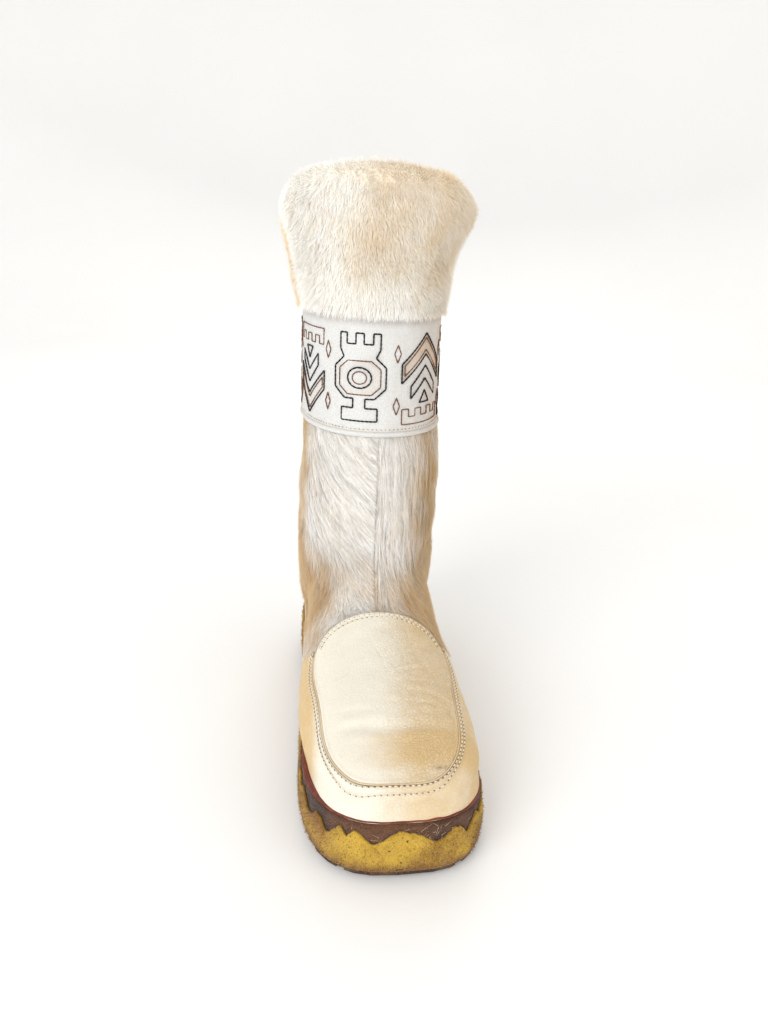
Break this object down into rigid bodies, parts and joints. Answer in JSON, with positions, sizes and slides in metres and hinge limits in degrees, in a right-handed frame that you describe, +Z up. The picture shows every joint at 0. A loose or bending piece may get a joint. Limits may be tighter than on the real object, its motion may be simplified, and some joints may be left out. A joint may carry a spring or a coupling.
{
  "type": "snow boot",
  "caption": "Mid-calf snow boot with a hair-on shaft, embroidered leather band, thick fur cuff, stitched moccasin foot and a flat felt-wrapped platform sole.",
  "frame": {"origin": "on the ground under the ankle, on the flat of the heel", "axes": "+Z up, toe towards -Y, outer side of the left foot towards +X"},
  "size_m": [0.1128, 0.284, 0.339],
  "materials": {
    "sole_rubber": "matte dark brown rubber",
    "platform_foam": "matte foam rubber",
    "brown_felt": "fuzzy dark brown felt",
    "mustard_felt": "short-haired mustard felt",
    "red_leather": "red-brown leather strip",
    "insole_wool": "woollen felt",
    "hair_hide": "cream and grey hair-on hide",
    "cream_leather": "grained cream leather with tan shading",
    "band_leather": "smooth off-white leather with black and brown embroidery",
    "cuff_fur": "dense cream and tan plush fur"
  },
  "bodies": {
    "root": {"outsole": "sole_rubber", "midsole": "platform_foam", "brown_foxing": "brown_felt", "mustard_foxing": "mustard_felt", "rand": "red_leather", "insole": "insole_wool", "upper": "hair_hide", "sidewall": "cream_leather", "apron": "cream_leather", "band": "band_leather", "fur_cuff": "cuff_fur"}
  },
  "joints": []
}
